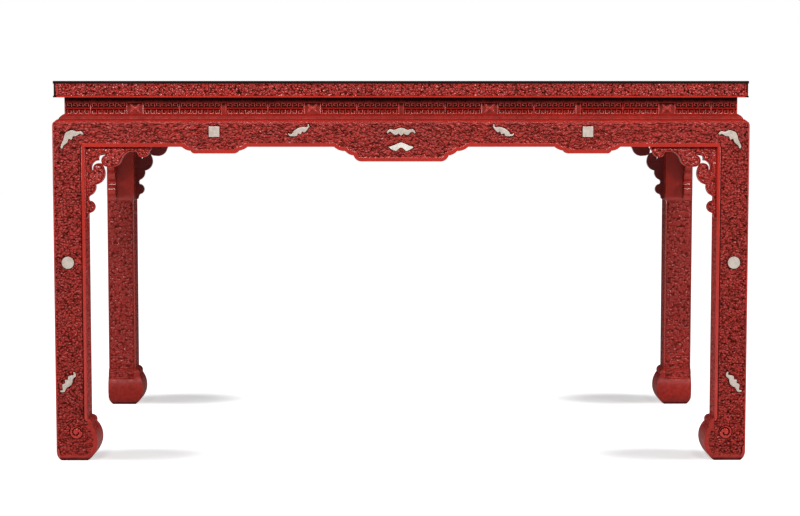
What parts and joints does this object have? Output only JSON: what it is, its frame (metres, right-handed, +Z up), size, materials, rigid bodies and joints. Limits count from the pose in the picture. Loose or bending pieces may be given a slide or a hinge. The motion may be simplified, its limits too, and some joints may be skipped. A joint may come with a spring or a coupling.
{
  "type": "carved lacquer table",
  "caption": "Rectangular waisted table in carved red lacquer with cusped aprons, scroll feet, pierced corner spandrels and pale jade inlays.",
  "frame": {"origin": "on the floor under the middle of the table, at the centre of its four feet", "axes": "+X along the table's length, +Y from the front to the back, +Z up"},
  "size_m": [1.5732, 0.9212, 0.864],
  "materials": {
    "carved_red_lacquer": "carved cinnabar lacquer on wood, soft satin",
    "dark_lacquer": "polished dark brown lacquer on wood",
    "celadon_jade": "polished pale jade",
    "white_jade": "polished white jade",
    "bamboo": "bare square-cut bamboo pegs"
  },
  "bodies": {
    "root": {"apron_back": "carved_red_lacquer", "apron_front": "carved_red_lacquer", "apron_left": "carved_red_lacquer", "apron_right": "carved_red_lacquer", "batten_centre": "dark_lacquer", "batten_left": "dark_lacquer", "batten_right": "dark_lacquer", "inlay_centre_bat_back": "celadon_jade", "inlay_centre_bat_front": "celadon_jade", "inlay_centre_bat_left": "celadon_jade", "inlay_centre_bat_right": "celadon_jade", "inlay_chime_back": "white_jade", "inlay_chime_front": "white_jade", "inlay_chime_left": "white_jade", "inlay_chime_right": "white_jade", "inlay_corner_bats_back": "celadon_jade", "inlay_corner_bats_front": "celadon_jade", "inlay_corner_bats_left": "celadon_jade", "inlay_corner_bats_right": "celadon_jade", "inlay_leg_bats_back": "celadon_jade", "inlay_leg_bats_front": "celadon_jade", "inlay_leg_bats_left": "celadon_jade", "inlay_leg_bats_right": "celadon_jade", "inlay_leg_discs_back": "celadon_jade", "inlay_leg_discs_front": "celadon_jade", "inlay_leg_discs_left": "celadon_jade", "inlay_leg_discs_right": "celadon_jade", "inlay_side_bats_back": "celadon_jade", "inlay_side_bats_front": "celadon_jade", "inlay_squares_back": "celadon_jade", "inlay_squares_front": "celadon_jade", "leg_back_left": "carved_red_lacquer", "leg_back_right": "carved_red_lacquer", "leg_front_left": "carved_red_lacquer", "leg_front_right": "carved_red_lacquer", "spandrel_back_left": "carved_red_lacquer", "spandrel_back_right": "carved_red_lacquer", "spandrel_front_left": "carved_red_lacquer", "spandrel_front_right": "carved_red_lacquer", "spandrel_left_back": "carved_red_lacquer", "spandrel_left_front": "carved_red_lacquer", "spandrel_pins": "bamboo", "spandrel_right_back": "carved_red_lacquer", "spandrel_right_front": "carved_red_lacquer", "top_panel": "dark_lacquer", "top_rail_back": "carved_red_lacquer", "top_rail_front": "carved_red_lacquer", "top_rail_left": "carved_red_lacquer", "top_rail_right": "carved_red_lacquer", "waist_back": "carved_red_lacquer", "waist_front": "carved_red_lacquer", "waist_left": "carved_red_lacquer", "waist_right": "carved_red_lacquer"}
  },
  "joints": []
}
